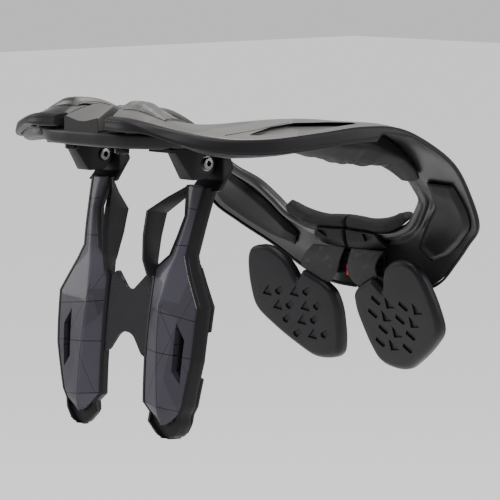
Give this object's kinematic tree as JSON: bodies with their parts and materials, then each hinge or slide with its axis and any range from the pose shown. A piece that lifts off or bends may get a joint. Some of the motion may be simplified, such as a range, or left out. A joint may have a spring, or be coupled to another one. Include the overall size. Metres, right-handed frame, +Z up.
{
  "type": "motocross neck brace",
  "caption": "Open rigid neck brace: two hinged ring arms with shoulder pads, chest pads on straps at the front and two long padded wings down the back.",
  "frame": {"origin": "middle of the neck opening, level with the inner edge of the shoulder decks, where the brace sits on the wearer", "axes": "+Z up, +Y towards the wearer's front, +X towards the wearer's right"},
  "size_m": [0.3018, 0.3071, 0.248],
  "materials": {
    "deck": "warm grey satin moulded shell with faint facets",
    "rim": "black satin moulding",
    "table": "dark grey satin moulded plastic",
    "foam": "black moulded foam with a fine grain",
    "leather": "silver grey coated pad skin with fine creases",
    "shell": "black smooth satin plastic",
    "rubber": "dark rubber with fine ribs",
    "panel": "grey lilac satin plastic with tonal facets",
    "red": "red satin plastic",
    "steel": "turned steel"
  },
  "bodies": {
    "rear": {"rear_table": "table", "hinge_pin_right": "steel", "hinge_pin_left": "steel", "wing_bracket_right": "shell", "wing_bracket_left": "shell", "wing_bolt_right": "steel", "wing_bolt_left": "steel"},
    "arm_right": {"arm_deck_right": "deck", "arm_rim_right": "rim", "arm_keel_right": "shell", "shoulder_pad_right": "foam", "rear_pad_right": "leather", "collar_pad_right": "foam", "plate_panel_right": "shell", "latch_block_right": "shell", "strap_right": "rubber", "chest_pad_right": "foam", "latch_bar_right": "shell", "release_tab": "red"},
    "arm_left": {"arm_deck_left": "deck", "arm_rim_left": "rim", "arm_keel_left": "shell", "shoulder_pad_left": "foam", "rear_pad_left": "leather", "collar_pad_left": "foam", "plate_panel_left": "shell", "latch_block_left": "shell", "strap_left": "rubber", "chest_pad_left": "foam", "latch_bar_left": "shell"},
    "wings": {"wing_cover_right": "panel", "wing_cover_left": "panel", "wing_frame_right": "rim", "wing_frame_left": "rim", "wing_pad_right": "foam", "wing_pad_left": "foam", "wing_web": "rubber"}
  },
  "joints": [
    {"name": "right_arm_hinge", "type": "hinge", "parent": "rear", "child": "arm_right", "pos_m": [0.028, -0.154, 0], "axis": [0, 0, -1], "range_deg": [0, 15]},
    {"name": "left_arm_hinge", "type": "hinge", "parent": "rear", "child": "arm_left", "pos_m": [-0.028, -0.154, 0], "axis": [0, 0, 1], "range_deg": [0, 15]},
    {"name": "wings_tilt", "type": "hinge", "parent": "rear", "child": "wings", "pos_m": [0, -0.1045, -0.029], "axis": [1, 0, 0], "range_deg": [-12, 4]}
  ]
}
